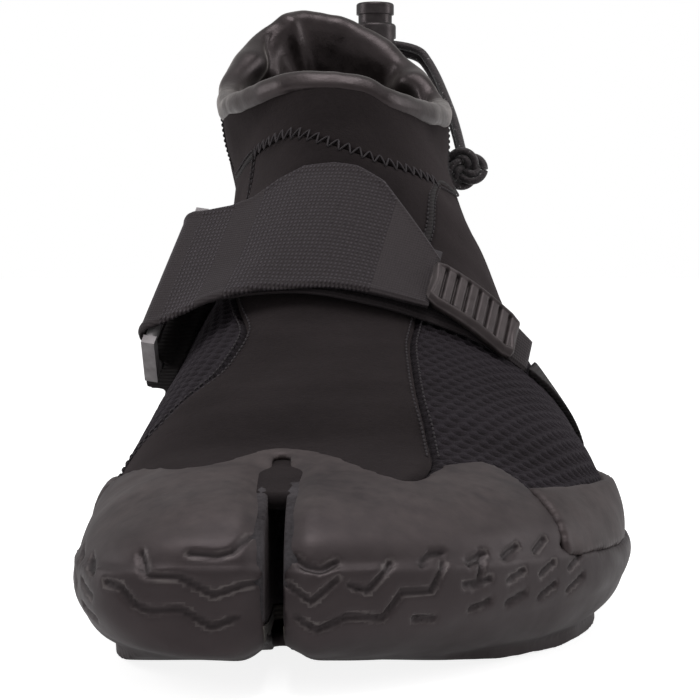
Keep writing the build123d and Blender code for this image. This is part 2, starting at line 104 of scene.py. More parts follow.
def surface(u, angle, out=0.0):
    """Points of the foot's surface in millimetres, moved outwards by out."""
    u, angle = np.broadcast_arrays(np.asarray(u, float), np.asarray(angle, float))
    rows = np.moveaxis(smooth_curve(STATIONS, SECTIONS, u), -1, 0)
    top, sole, middle, inner, outer, crown, round_inner, round_outer, round_low = rows
    across, up = np.cos(np.radians(angle)), np.sin(np.radians(angle))
    roundness = np.where(up >= 0, np.where(across < 0, round_inner, round_outer), round_low)
    width = np.where(across < 0, crown - inner, outer - crown) + out
    height = np.where(up >= 0, middle - top, sole - middle) + out
    x = crown + np.sign(across) * width * np.abs(across) ** (2 / roundness)
    reach = middle - np.sign(up) * height * np.abs(up) ** (2 / roundness)
    turn = np.radians(np.maximum(u, 0) / FAN_STEP)
    return np.stack([x, FAN_Y + np.minimum(u, 0) + reach * np.sin(turn), FAN_Z - reach * np.cos(turn)], -1)


def unit(vectors):
    return vectors / np.maximum(np.linalg.norm(vectors, axis=-1, keepdims=True), 1e-9)


def outward(u, angle):
    """Unit normals of the foot's surface."""
    along = surface(np.asarray(u) + 0.3, angle) - surface(np.asarray(u) - 0.3, angle)
    around = surface(u, np.asarray(angle) + 0.5) - surface(u, np.asarray(angle) - 0.5)
    return unit(np.cross(along, around))


def waves(points, scale, seed):
    """Smooth seeded noise from -1 to 1, at points in millimetres, with features of about scale."""
    draw = np.random.default_rng(seed)
    total = np.zeros(points.shape[:-1])
    for _ in range(7):
        direction = unit(draw.normal(size=3)) * 2 * pi / (scale * draw.uniform(0.8, 1.7))
        total += np.sin(points @ direction + draw.uniform(0, 2 * pi))
    return total / 4


def ramp(value, low, high):
    """0 below low, 1 above high, smooth between."""
    t = np.clip((value - low) / (high - low), 0, 1)
    return t * t * (3 - 2 * t)


# ---------------- mesh helpers
link = bpy.context.scene.collection.objects.link


def make_mesh(name, vertices, faces, body, material, replaces=(), cloth=None):
    """A smooth mesh object from points in millimetres.

    For a sheet, cloth is the flat place of each point of its grid, the same for the top and the underside.
    """
    mesh = bpy.data.meshes.new(name)
    mesh.from_pydata((np.asarray(vertices, float).reshape(-1, 3) * MM).tolist(), [], faces)
    mesh.validate()
    shape = bmesh.new()
    shape.from_mesh(mesh)
    bmesh.ops.recalc_face_normals(shape, faces=shape.faces)
    shape.to_mesh(mesh)
    shape.free()
    mesh.polygons.foreach_set("use_smooth", [True] * len(mesh.polygons))
    if cloth is not None:
        flat = np.zeros((2, cloth.size // 2, 3), np.float32)
        flat[..., :2] = cloth.reshape(-1, 2)
        mesh.attributes.new("cloth", "FLOAT_VECTOR", "POINT").data.foreach_set("vector", flat.ravel())
    piece = bpy.data.objects.new(name, mesh)
    link(piece)
    finish_piece(piece, body, material, replaces)
    return piece


def vectors(items, key):
    """One vector of each of a mesh's items, as rows."""
    values = np.empty(len(items) * 3)
    items.foreach_get(key, values)
    return values.reshape(-1, 3)


def finish_piece(piece, body, material, replaces=()):
    """Gives a piece its material and body, and hides the CAD solids that it stands for."""
    piece.data.materials.clear()
    piece.data.materials.append(material)
    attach(piece, body)
    if replaces:
        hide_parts(*replaces)


def grid_faces(rows, columns, start=0, flip=False, close_rows=False, close_columns=False):
    """Quads of a grid of points."""
    faces = []
    for i in range(rows - (not close_rows)):
        for j in range(columns - (not close_columns)):
            row, next_row = start + i * columns, start + (i + 1) % rows * columns
            next_column = (j + 1) % columns
            a, b, c, d = row + j, row + next_column, next_row + next_column, next_row + j
            faces.append((a, d, c, b) if flip else (a, b, c, d))
    return faces


def slab(top, under):
    """Vertices and faces of a closed sheet between two grids of points; top faces outwards."""
    rows, columns = top.shape[:2]
    count = rows * columns
    faces = grid_faces(rows, columns) + grid_faces(rows, columns, count, flip=True)
    rim = ([i * columns for i in range(rows)]
           + [(rows - 1) * columns + j for j in range(1, columns)]
           + [i * columns + columns - 1 for i in range(rows - 2, -1, -1)]
           + [j for j in range(columns - 2, 0, -1)])
    for a, b in zip(rim, rim[1:] + rim[:1]):
        faces.append((b, a, a + count, b + count)[::-1])
    return np.concatenate([top.reshape(-1, 3), under.reshape(-1, 3)]), faces


def arc_lengths(points, axis):
    """Distance along a line of points, or along a grid's rows or columns, from the first."""
    steps = np.linalg.norm(np.diff(points, axis=axis), axis=-1)
    zero = np.zeros_like(np.take(steps, [0], axis=axis))
    return np.cumsum(np.concatenate([zero, steps], axis=axis), axis=axis)


def edge_distance(points):
    """Distance in millimetres of each grid point from the nearest edge of the grid."""
    along, across = arc_lengths(points, 0), arc_lengths(points, 1)
    return np.minimum(np.minimum(along, along[-1:] - along), np.minimum(across, across[:, -1:] - across))


def edge_curve(points, count):
    """An edge given by a few (u, angle) points, resampled evenly."""
    points = np.asarray(points, float)
    lengths = arc_lengths(points, 0)
    return smooth_curve(lengths / lengths[-1], points, np.linspace(0, 1, count))


def patch(front, back, left, right, rows, columns):
    """A grid of (u, angle) between four edges. Front and back run from left to right."""
    front, back = edge_curve(front, columns), edge_curve(back, columns)
    left, right = edge_curve(left, rows), edge_curve(right, rows)
    s, t = np.linspace(0, 1, columns)[None, :, None], np.linspace(0, 1, rows)[:, None, None]
    corners = (1 - t) * ((1 - s) * front[0] + s * front[-1]) + t * ((1 - s) * back[0] + s * back[-1])
    return (1 - t) * front[None] + t * back[None] + (1 - s) * left[:, None] + s * right[:, None] - corners


PANEL_THICKNESS = 2.6
SOFT_EDGE = 1.6  # a panel's edge is rounded over this width


def panel(name, grid, material, relief, replaces, lift=0.0, edge=0.8):
    """A fabric panel on the foot; relief is a height over the flat fabric, and its edges sink by edge."""
    u, angle = grid[..., 0], grid[..., 1]
    base = surface(u, angle)
    across = arc_lengths(base, 1)
    cloth = np.stack([across - across.mean(), arc_lengths(base, 0)], -1)
    height = lift - edge * (1 - ramp(edge_distance(base), 0, SOFT_EDGE)) ** 2
    height = height + relief(cloth[..., 0], cloth[..., 1], base)
    top, under = surface(u, angle, height), surface(u, angle, -PANEL_THICKNESS)
    vertices, faces = slab(top[:, ::-1], under[:, ::-1])
    piece = make_mesh(name, vertices, faces, "boot", material, replaces, cloth[:, ::-1])
    # The height is kept so that the spacer mesh can paint shade where its relief is low.
    ridges = piece.data.attributes.new("ridge", "FLOAT", "POINT").data
    ridges.foreach_set("value", np.concatenate([height[:, ::-1].ravel()] * 2))


def remeshed(name, nodes, body, material, voxel, passes, relief=None, after=0):
    """A moulded or sewn piece with soft edges, made from its CAD solids.

    relief takes the points and normals, and returns each point's move and its depth in a groove.
    """
    bpy.ops.object.select_all(action="DESELECT")
    for node in nodes:
        part = NODES[node].copy()
        part.data = NODES[node].data.copy()
        part.parent = None
        link(part)
        part.select_set(True)
        bpy.context.view_layer.objects.active = part
    piece = bpy.context.view_layer.objects.active
    if len(nodes) > 1:
        bpy.ops.object.join()
    piece.name = name
    remesh = piece.modifiers.new("even", "REMESH")
    remesh.voxel_size = voxel * MM
    soften = piece.modifiers.new("soft", "SMOOTH")
    soften.iterations = passes
    for modifier in (remesh, soften):
        bpy.ops.object.modifier_apply(modifier=modifier.name)
    mesh = piece.data
    if relief:
        points = vectors(mesh.vertices, "co") / MM
        push, dent = relief(points, vectors(mesh.vertex_normals, "vector"))
        mesh.vertices.foreach_set("co", ((points + push) * MM).ravel())
        mesh.attributes.new("groove", "FLOAT", "POINT").data.foreach_set("value", dent)
    if after:
        piece.modifiers.new("settle", "SMOOTH").iterations = after
        bpy.ops.object.modifier_apply(modifier="settle")
    mesh.polygons.foreach_set("use_smooth", [True] * len(mesh.polygons))
    piece.select_set(False)
    finish_piece(piece, body, material, nodes)
    return piece


def threads(name, stitches, radius):
    """Stitches, each a short arched thread from one point to another; stitches are (start, end, out)."""
    sides, rings = 6, 7
    along = np.linspace(0, 1, rings)
    swell = radius * np.sqrt(np.maximum(1 - (2 * along - 1) ** 4, 0.02))
    arch = 0.7 * radius * np.sin(pi * along)
    turns = np.linspace(0, 2 * pi, sides, endpoint=False)
    start, end, out = (np.array([stitch[i] for stitch in stitches]) for i in range(3))
    side = unit(np.cross(end - start, out))
    middle = (start[:, None] + (end - start)[:, None] * along[None, :, None]
              + out[:, None] * arch[None, :, None])
    ring = (side[:, None, None] * np.cos(turns)[None, None, :, None]
            + out[:, None, None] * np.sin(turns)[None, None, :, None]) * swell[None, :, None, None]
    vertices = (middle[:, :, None] + ring).reshape(-1, 3)
    faces = []
    for number in range(len(stitches)):
        first = number * rings * sides
        faces += grid_faces(rings, sides, first, close_columns=True)
        faces.append(tuple(range(first, first + sides))[::-1])
        faces.append(tuple(range(first + (rings - 1) * sides, first + rings * sides)))
    make_mesh(name, vertices, faces, "boot", THREAD)


def seam_frame(points, spacing, lift=0.0):
    """Evenly spaced points along a seam, and the directions out of the foot and to the seam's side."""
    fine = edge_curve(points, 400)
    lengths = arc_lengths(surface(fine[:, 0], fine[:, 1]), 0)
    wanted = np.arange(spacing / 2, lengths[-1], spacing)
    u, angle = (np.interp(wanted, lengths, fine[:, k]) for k in range(2))
    places, out = surface(u, angle, lift), outward(u, angle)
    return places, out, unit(np.cross(np.gradient(places, axis=0), out))


def run_stitches(points, spacing, lift, shift):
    """Straight stitches beside a seam on the foot, with a small gap between one and the next."""
    places, out, side = seam_frame(points, spacing, lift)
    places = places + side * shift
    gap = 0.12
    return [(a + (b - a) * gap, b - (b - a) * gap, n) for a, b, n in zip(places, places[1:], out)]


def zigzag_stitches(points, spacing, width, lift):
    """A zigzag seam on the foot."""
    places, out, side = seam_frame(points, spacing, lift)
    places = places + side * (width / 2 * np.where(np.arange(len(places)) % 2, 1, -1))[:, None]
    return [(a, b, n) for a, b, n in zip(places, places[1:], out)]


# ---------------- materials
SPECULAR_TINT = (1, 0.84, 0.87, 1)  # black rubber and fabric have slightly warm reflections


class Surface:
    """A node material: a principled shader whose colour, roughness and bump come from patterns.

    sheen is its weight, roughness and tint; other fixed values go by their sockets' names.
    """

    def __init__(self, name, roughness, specular=0.5, sheen=(), **fixed):
        self.material = bpy.data.materials.new(name)
        self.material.use_nodes = True
        self.nodes, self.links = self.material.node_tree.nodes, self.material.node_tree.links
        self.shader = self.nodes["Principled BSDF"]
        self.shader.inputs["Roughness"].default_value = roughness
        self.shader.inputs["Specular IOR Level"].default_value = specular
        self.shader.inputs["Specular Tint"].default_value = SPECULAR_TINT
        for socket, value in zip(("Sheen Weight", "Sheen Roughness", "Sheen Tint"), sheen):
            self.shader.inputs[socket].default_value = value
        for socket, value in fixed.items():
            self.shader.inputs[socket.replace("_", " ")].default_value = value
        self.normal = None

    def add(self, kind, **inputs):
        """A new node with its sockets fed; an underscore stands for a space in a socket's name."""
        node = self.nodes.new(kind)
        for socket, value in inputs.items():
            self.feed(node.inputs[socket.replace("_", " ")], value)
        return node

    def feed(self, socket, value):
        """Links a socket's value, or sets it."""
        if isinstance(value, bpy.types.NodeSocket):
            self.links.new(value, socket)
        else:
            socket.default_value = value

    def place(self, cloth=False):
        """Coordinates in millimetres: of the flat fabric, or of the object."""
        if cloth:
            return self.attribute("cloth").outputs["Vector"]
        node = self.add("ShaderNodeVectorMath", Vector=self.add("ShaderNodeTexCoord").outputs["Object"])
        node.operation = "SCALE"
        node.inputs["Scale"].default_value = 1 / MM
        return node.outputs["Vector"]

    def attribute(self, name):
        node = self.add("ShaderNodeAttribute")
        node.attribute_name = name
        return node

    def math(self, operation, first, second=0.0, third=0.0):
        node = self.nodes.new("ShaderNodeMath")
        node.operation = operation
        for socket, value in zip(node.inputs, (first, second, third)):
            self.feed(socket, value)
        return node.outputs[0]

    def blend(self, first, second, share):
        """The sum of two values, the first counting for share and the second for the rest."""
        return self.math("MULTIPLY_ADD", first, share, self.math("MULTIPLY", second, 1 - share))

    def noise(self, place, size, detail=3.0, rough=0.5):
        """Cloudy noise with features of about size millimetres, from 0 to 1."""
        node = self.add("ShaderNodeTexNoise", Vector=place, Scale=1 / size, Detail=detail, Roughness=rough)
        return node.outputs["Fac"]

    def cells(self, place, size):
        """0 at scattered points about size millimetres apart, rising between them."""
        return self.add("ShaderNodeTexVoronoi", Vector=place, Scale=1 / size).outputs["Distance"]

    def ribs(self, place, axis, pitch):
        """Ridges of a pitch in millimetres, square to a coordinate axis, from 0 to 1."""
        split = self.add("ShaderNodeSeparateXYZ", Vector=place)
        wave = self.math("SINE", self.math("MULTIPLY", split.outputs[axis], 2 * pi / pitch))
        return self.math("MULTIPLY_ADD", wave, 0.5, 0.5)

    def spread(self, value, low, high, start=0.0, end=1.0):
        """Carries a value's range from low to high over to start to end, and clips it there."""
        node = self.add("ShaderNodeMapRange", Value=value, From_Min=low, From_Max=high,
                        To_Min=start, To_Max=end)
        return node.outputs["Result"]

    def colour(self, factor, first, second):
        """Blends two linear colours and drives the base colour."""
        mix = self.nodes.new("ShaderNodeMix")
        mix.data_type = "RGBA"
        self.feed(mix.inputs[0], factor)
        self.feed(mix.inputs[6], (*first, 1) if isinstance(first, tuple) else first)
        self.feed(mix.inputs[7], (*second, 1) if isinstance(second, tuple) else second)
        self.links.new(mix.outputs[2], self.shader.inputs["Base Color"])
        return mix.outputs[2]

    def bump(self, height, depth, strength=1.0):
        """Stacks a bump of depth millimetres on what is there."""
        node = self.add("ShaderNodeBump", Height=height, Distance=depth * MM, Strength=strength)
        if self.normal:
            self.links.new(self.normal, node.inputs["Normal"])
        self.normal = node.outputs["Normal"]
        self.links.new(self.normal, self.shader.inputs["Normal"])

    def shine(self, value):
        """Drives the roughness."""
        self.links.new(value, self.shader.inputs["Roughness"])


def moulded_rubber(name, dark, pale, roughness, lower_wall_shade=0.0):
    """Matte moulded rubber: pale dust on a dark base, painted shade in grooves, worn rims, a fine grain.

    The last argument is the share of painted shade that darkens the lower wall back to the dark base.
    """
    # Painted shade: the grooves' darkest colour, and the heights over which the lower wall's shade fades
    # out.
    groove_shade, on_rim, shade_fade_heights = (0.005, 0.0043, 0.0045), (0.15, 0.135, 0.13), (22, 31)
    look = Surface(name, roughness, 0.45)
    place = look.place()
    dust = look.blend(look.noise(place, 22, 4, 0.6), look.noise(place, 3, 5, 0.65), 0.6)
    groove = look.attribute("groove").outputs["Fac"]
    rim = look.math("MULTIPLY", look.spread(groove, 0.0, 0.12), look.spread(groove, 0.5, 0.15))
    worn = look.math("MULTIPLY", rim, look.spread(look.noise(place, 4, 3), 0.42, 0.62))
    tone = look.colour(look.spread(dust, 0.36, 0.66), dark, pale)
    height = look.add("ShaderNodeSeparateXYZ", Vector=place).outputs["Z"]
    # Painted shade: the lower wall darkens towards the dark base, as shade under the lit top.
    tone = look.colour(look.spread(height, *shade_fade_heights, lower_wall_shade, 0.0), tone, dark)
    # Painted shade: the grooves darken towards their darkest colour.
    tone = look.colour(look.spread(groove, 0.2, 0.9, 0.0, 0.9), tone, groove_shade)
    look.colour(look.math("MULTIPLY", worn, 0.45), tone, on_rim)
    look.shine(look.spread(look.noise(place, 9, 4), 0.3, 0.7, roughness - 0.07, roughness + 0.1))
    look.bump(look.noise(place, 0.35, 2), 0.03, 0.5)
    look.bump(look.noise(place, 5, 3), 0.25, 0.35)
    return look.material


def brushed_neoprene(name, dark, pale):
    """Loop-faced neoprene: matte, nearly black, with a short soft nap and some lint."""
    look = Surface(name, 0.95, 0.1, sheen=(0.07, 0.6, (0.75, 0.62, 0.64, 1)))
    place = look.place()
    nap = look.blend(look.noise(place, 1.1, 5, 0.7), look.noise(place, 14, 2), 0.55)
    look.colour(look.spread(nap, 0.35, 0.7), dark, pale)
    look.bump(look.noise(place, 0.5, 4, 0.7), 0.18, 0.7)
    look.bump(look.noise(place, 3.5, 3), 0.35, 0.3)
    return look.material


def spacer_mesh():
    """Dimpled spacer mesh: bluish black, a fine knit, and painted shade in the dimples and at the sunk
    panel edges.
    """
    dimple_shade, on_ridge, knit_pitch = (0.0026, 0.0021, 0.0028), (0.0165, 0.0138, 0.0175), 0.55
    look = Surface("air_mesh", 0.75, 0.15, sheen=(0.04, 0.45, (0.7, 0.62, 0.72, 1)))
    cloth = look.place(cloth=True)
    knit = look.math("MULTIPLY", look.ribs(cloth, 0, knit_pitch), look.ribs(cloth, 1, knit_pitch))
    # Painted shade: where the panel's relief is low, in dimples and at its sunk edges, the knit is darker.
    high = look.spread(look.attribute("ridge").outputs["Fac"], -0.6, 0.0, 0.0, 0.7)
    look.colour(look.math("MULTIPLY_ADD", knit, 0.3, high), dimple_shade, on_ridge)
    look.bump(knit, 0.12, 0.8)
    return look.material


def smooth_skin(name, dark, pale, roughness):
    """Smooth-skin neoprene: a soft leather-like sheen with fine creases and scuffs."""
    look = Surface(name, roughness, 0.55, sheen=(0.35, 0.3, (1, 0.92, 0.88, 1)))
    place = look.place()
    look.colour(look.spread(look.noise(place, 10, 5, 0.6), 0.3, 0.7), dark, pale)
    look.shine(look.spread(look.noise(place, 2.5, 4), 0.3, 0.75, roughness - 0.06, roughness + 0.14))
    look.bump(look.cells(place, 0.7), 0.05, 0.4)
    look.bump(look.noise(place, 2.2, 4, 0.6), 0.15, 0.4)
    return look.material


def webbing(name, dark, pale, pitch, sheen):
    """Woven strap: fine ribs along and across the strap, with a soft bluish lustre."""
    look = Surface(name, 0.66, 0.35, sheen=(sheen, 0.4, (0.8, 0.72, 0.78, 1)))
    cloth = look.place(cloth=True)
    weave = look.blend(look.ribs(cloth, 1, pitch), look.ribs(cloth, 0, pitch * 0.7), 0.6)
    fuzz = look.noise(cloth, 0.8, 5, 0.7)
    look.colour(look.spread(look.math("MULTIPLY_ADD", weave, 0.35, fuzz), 0.35, 0.95), dark, pale)
    look.bump(weave, 0.16, 0.6)
    look.bump(fuzz, 0.12, 0.6)
    return look.material


def loop_pile():
    """The strap's sewn pile: columns of small raised loops, paler at their tips."""
    look = Surface("strap_loop_pile", 0.6, 0.35, sheen=(0.12, 0.4, (0.85, 0.76, 0.85, 1)))
    cloth = look.place(cloth=True)
    columns = look.ribs(cloth, 0, 0.95)
    loops = look.math("MULTIPLY", columns, look.ribs(cloth, 1, 1.25))
    fuzz = look.noise(cloth, 0.7, 4, 0.7)
    tips = look.math("MULTIPLY", look.spread(loops, 0.2, 0.9), look.spread(fuzz, 0.35, 0.65))
    look.colour(tips, (0.0045, 0.0038, 0.0045), (0.05, 0.043, 0.05))
    look.bump(look.math("MULTIPLY_ADD", columns, 0.5, loops), 0.3, 0.9)
    look.bump(fuzz, 0.12, 0.6)
    return look.material


def knit_tape(name, dark, pale):
    """Narrow ribbed tape."""
    look = Surface(name, 0.85, 0.2, sheen=(0.05,))
    place = look.place()
    ribs = look.ribs(place, 2, 0.8)
    look.colour(look.math("MULTIPLY_ADD", ribs, 0.4, look.noise(place, 2, 4)), dark, pale)
    look.bump(ribs, 0.15, 0.7)
    look.bump(look.noise(place, 0.6, 3), 0.1, 0.5)
    return look.material


def braided_cord():
    """Braided elastic cord: crossing yarns, with pale flecks."""
    look = Surface("braided_cord", 0.62, 0.4, sheen=(0.25,))
    place = look.place()
    flecks = look.spread(look.noise(place, 0.9, 2), 0.66, 0.72)
    look.colour(flecks, (0.012, 0.011, 0.012), (0.3, 0.29, 0.29))
    look.bump(look.cells(place, 0.55), 0.2, 0.8)
    return look.material


def moulded_plastic(name, dark, pale, roughness):
    """Moulded plastic with a fine texture and light scuffs."""
    look = Surface(name, roughness, 0.5)
    place = look.place()
    look.colour(look.spread(look.noise(place, 3, 5), 0.35, 0.7), dark, pale)
    look.shine(look.spread(look.noise(place, 1.5, 4), 0.3, 0.7, roughness - 0.05, roughness + 0.12))
    look.bump(look.noise(place, 0.4, 2), 0.03, 0.5)
    return look.material


def spring_steel():
    """Bright drawn wire."""
    look = Surface("spring_steel", 0.3, 0.5, Metallic=1.0)
    place = look.place()
    look.colour(look.noise(place, 1, 3), (0.45, 0.45, 0.46), (0.62, 0.62, 0.63))
    look.bump(look.noise(place, 0.3, 2), 0.01, 0.4)
    return look.material


CAP = moulded_rubber("cap_rubber", (0.0195, 0.0155, 0.0152), (0.056, 0.0445, 0.0435), 0.52)
# The sole's last number is its share of painted shade on the lower wall.
SOLE = moulded_rubber("sole_rubber", (0.0175, 0.0138, 0.0145), (0.06, 0.048, 0.0465), 0.52, 0.85)
NEOPRENE = brushed_neoprene("neoprene", (0.0042, 0.0034, 0.0035), (0.0105, 0.0085, 0.0088))
GUSSET = brushed_neoprene("gusset_knit", (0.012, 0.011, 0.012), (0.06, 0.056, 0.06))
CUFF = brushed_neoprene("cuff_neoprene", (0.0046, 0.0036, 0.0037), (0.01, 0.008, 0.0082))
MESH = spacer_mesh()
SKIN = smooth_skin("smooth_skin", (0.0075, 0.0058, 0.0057), (0.0175, 0.0138, 0.0132), 0.36)
STRAP = webbing("strap_webbing", (0.0055, 0.0048, 0.0052), (0.0175, 0.0152, 0.0165), 0.8, 0.12)
LOOPS = loop_pile()
HOOKS = moulded_plastic("strap_hooks", (0.008, 0.008, 0.009), (0.03, 0.03, 0.035), 0.6)
TAPE = knit_tape("seam_tape", (0.005, 0.0045, 0.0045), (0.014, 0.0125, 0.013))
TAB = moulded_plastic("tab_rubber", (0.018, 0.015, 0.0148), (0.042, 0.036, 0.0355), 0.45)
RING = moulded_plastic("ring_plastic", (0.16, 0.15, 0.155), (0.28, 0.27, 0.275), 0.4)
LOCK = moulded_plastic("lock_plastic", (0.01, 0.009, 0.009), (0.026, 0.024, 0.024), 0.34)
THREAD = webbing("thread", (0.006, 0.006, 0.007), (0.018, 0.017, 0.019), 0.4, 0.1)
BOARD = knit_tape("board_weave", (0.05, 0.045, 0.04), (0.1, 0.09, 0.08))
FOAM = moulded_plastic("footbed_foam", (0.02, 0.02, 0.022), (0.05, 0.05, 0.055), 0.8)
CORD_LOOK = braided_cord()
STEEL = spring_steel()

# ---------------- camera, lights, floor
CAMERA = Vector((-2.5, -455.0, 74.4)) * MM
HORIZON_DROP = 3.03  # degrees that the view is turned down
SENSOR, LENS = 36, 100.08

camera = bpy.data.objects.new("camera", bpy.data.cameras.new("camera"))
camera.data.sensor_width = SENSOR
camera.data.lens = LENS
camera.data.clip_start = 0.01
camera.location = CAMERA
camera.rotation_euler = (radians(90 - HORIZON_DROP), 0, 0)
link(camera)
bpy.context.scene.camera = camera


def area_light(name, place, target, size, power):
    """A soft light at a place in metres, turned to its target, with its power in watts."""
    light = bpy.data.objects.new(name, bpy.data.lights.new(name, "AREA"))
    light.data.shape = "RECTANGLE"
    light.data.size, light.data.size_y = size
    light.data.energy = power
    light.location = place
    light.rotation_euler = (Vector(target) - Vector(place)).to_track_quat("-Z", "Y").to_euler()
    link(light)


area_light("overhead", (0.0, -0.2, 0.85), (0, -0.05, 0.05), (0.7, 0.5), 4.6)
area_light("front", (-0.35, -0.9, 0.6), (0, 0, 0.05), (0.4, 0.4), 0.4)
area_light("left", (-0.8, 0.05, 0.35), (0, 0, 0.08), (0.3, 0.5), 1.5)
area_light("right", (0.8, 0.1, 0.4), (0, 0, 0.08), (0.3, 0.5), 1.5)

# The background is white to the camera and dimmer as a light; the same goes for the paper floor's glow.
FILL_STRENGTH = 0.38
FLOOR_GLOW, FLOOR_GLOW_SEEN = 0.24, 0.62
world = bpy.data.worlds.new("studio")
world.use_nodes = True
nodes, links = world.node_tree.nodes, world.node_tree.links
seen = nodes["Background"]
seen.inputs["Color"].default_value = (1, 1, 1, 1)
fill = nodes.new("ShaderNodeBackground")
fill.inputs["Strength"].default_value = FILL_STRENGTH
fill.inputs["Color"].default_value = (1, 1, 1, 1)
either = nodes.new("ShaderNodeMixShader")
seen_by_camera = nodes.new("ShaderNodeLightPath").outputs["Is Camera Ray"]
for socket, value in enumerate((seen_by_camera, fill.outputs[0], seen.outputs[0])):
    links.new(value, either.inputs[socket])
links.new(either.outputs[0], nodes["World Output"].inputs["Surface"])
bpy.context.scene.world = world
bpy.context.scene.view_settings.view_transform = "Standard"

floor_mesh = bpy.data.meshes.new("floor")
FLOOR_HALF = 4
floor_corners = [(x * FLOOR_HALF, y * FLOOR_HALF, 0) for x, y in ((-1, -1), (1, -1), (1, 1), (-1, 1))]
floor_mesh.from_pydata(floor_corners, [], [(0, 1, 2, 3)])
floor = bpy.data.objects.new("floor", floor_mesh)
paper = Surface("paper", 0.9, 0.2, Emission_Color=(1, 1, 1, 1))
seen_directly = paper.add("ShaderNodeLightPath").outputs["Is Camera Ray"]
paper.feed(paper.shader.inputs["Emission Strength"],
           paper.math("MULTIPLY_ADD", seen_directly, FLOOR_GLOW_SEEN, FLOOR_GLOW))
paper.colour(paper.noise(paper.place(), 60, 2), (0.6, 0.6, 0.6), (0.64, 0.64, 0.64))
floor.data.materials.append(paper.material)
link(floor)

# ---------------- collar edge
# (Y, Z) of the collar's edge, seen from the side
COLLAR_EDGE = [(0, 130), (15, 122), (26.5, 115.5), (38, 110.5), (50, 109.5), (62, 112.5), (80, 122),
               (100, 134.5), (117, 143.5), (135, 150)]

# (angle, height): how far the soft edge stands up or sags from that line, round the collar
COLLAR_SAG = [(-25, -13.5), (-10, -13), (0, -8), (10, -3.5), (20, -0.3), (30, 2.2), (40, 2.4), (55, 1.6),
              (70, 1), (77, 2.6), (88, 3.6), (120, 5.1), (140, 5.3), (152, 4.4), (160, 2), (170, -1),
              (180, -4.4), (195, -6), (225, -3), (255, 0.2), (272, -1.8), (285, -5), (315, -11.6),
              (335, -13.5), (350, -13), (360, -8)]
COLLAR_SEAM = 2.0  # how far below the collar's edge the panels end
CUFF_ENDS = 4, 178  # the angles where the cuff's two side seams meet the collar


def curve_height(table, wanted):
    """The second column of a table at the wanted places in its first."""
    table = np.array(table)
    return smooth_curve(table[:, 0], table[:, 1:], wanted)[..., 0]


def collar_station(angle):
    """The u where the foot's surface crosses the collar's edge, for each angle."""
    sag = curve_height(COLLAR_SAG, np.mod(np.asarray(angle, float) + 20, 360) - 20)
    low, high = np.full(np.shape(angle), 88.0), np.full(np.shape(angle), 142.0)
    for _ in range(30):
        middle = (low + high) / 2
        point = surface(middle, angle)
        above = point[..., 2] - sag > curve_height(COLLAR_EDGE, point[..., 1])
        low, high = np.where(above, low, middle), np.where(above, middle, high)
    return low


def collar_line(first, last):
    """(u, angle) points just below the collar's edge."""
    angles = np.linspace(first, last, 9)
    return np.stack([collar_station(angles) - COLLAR_SEAM, angles], -1)


def collar_end(angle):
    """The (u, angle) point where a seam at this angle meets the collar."""
    return (collar_station(angle) - COLLAR_SEAM, angle)


# ---------------- upper panels, as (u, angle) edges
TOE_END = -62
MEDIAL_SEAM = [(TOE_END, 172), (-30, 168), (-14, 158), (-9.5, 149), (-5, 136), (2, 124), (8, 116),
               (16.5, 112), (26, 110), (41, 116), (60, 126), (75, 130), (99, 133)]
LATERAL_SEAM = [(TOE_END, 66), (-31, 68), (-20, 71), (-7.5, 74), (7, 75), (18.5, 74), (29.5, 72),
                (56.2, 67), (70.6, 63), (83.7, 58), (91, 51)]
ZIGZAG = [(99, 133), (98, 121), (97, 108), (93, 94), (90, 85), (88, 75), (89, 62), (91, 51)]
SOLE_SIDE = 45  # how far the side panels tuck under, in degrees past level
MEDIAL_SOLE = 180 + SOLE_SIDE
BACK_SEAM = 272  # the angle of the seam down the heel
HEEL_START = 81  # the u where the heel panels take over from the side panels
MEDIAL_CORNER = (HEEL_START, 131)
LATERAL_BACK = [LATERAL_SEAM[7], (66, 20), (78, -SOLE_SIDE)]
CUFF_LEFT = [(99, 133), (102, 156), (108, 172), collar_end(CUFF_ENDS[1])]
CUFF_RIGHT = [(91, 51), (96, 34), (104, 16), (110, 6), collar_end(CUFF_ENDS[0])]
LATERAL_CUFF = LATERAL_SEAM[7:10] + CUFF_RIGHT

DIMPLE_PITCH, DIMPLE_DEPTH = 3.2, 0.75


def dimples(x, y, points):
    """Rows of round hollows, staggered, as on spacer mesh."""
    along = y / (DIMPLE_PITCH * 0.8)
    row = np.round(along)
    across = x / DIMPLE_PITCH + 0.5 * (row % 2)
    from_middle = np.hypot((across - np.round(across)) * 1.05, (along - row) * 0.95)
    return -DIMPLE_DEPTH * (1 - ramp(from_middle, 0.12, 0.5)) + 0.12 * waves(points, 18, 3)


def soft_skin(x, y, points):
    """Low uneven swells of stretched neoprene."""
    return 0.35 * waves(points, 26, 5) + 0.1 * waves(points, 9, 6)


def heel_seam(angle):
    """The edge down the back of the heel, at an angle counted from one side or the other."""
    return [(HEEL_START, angle), collar_end(angle)]


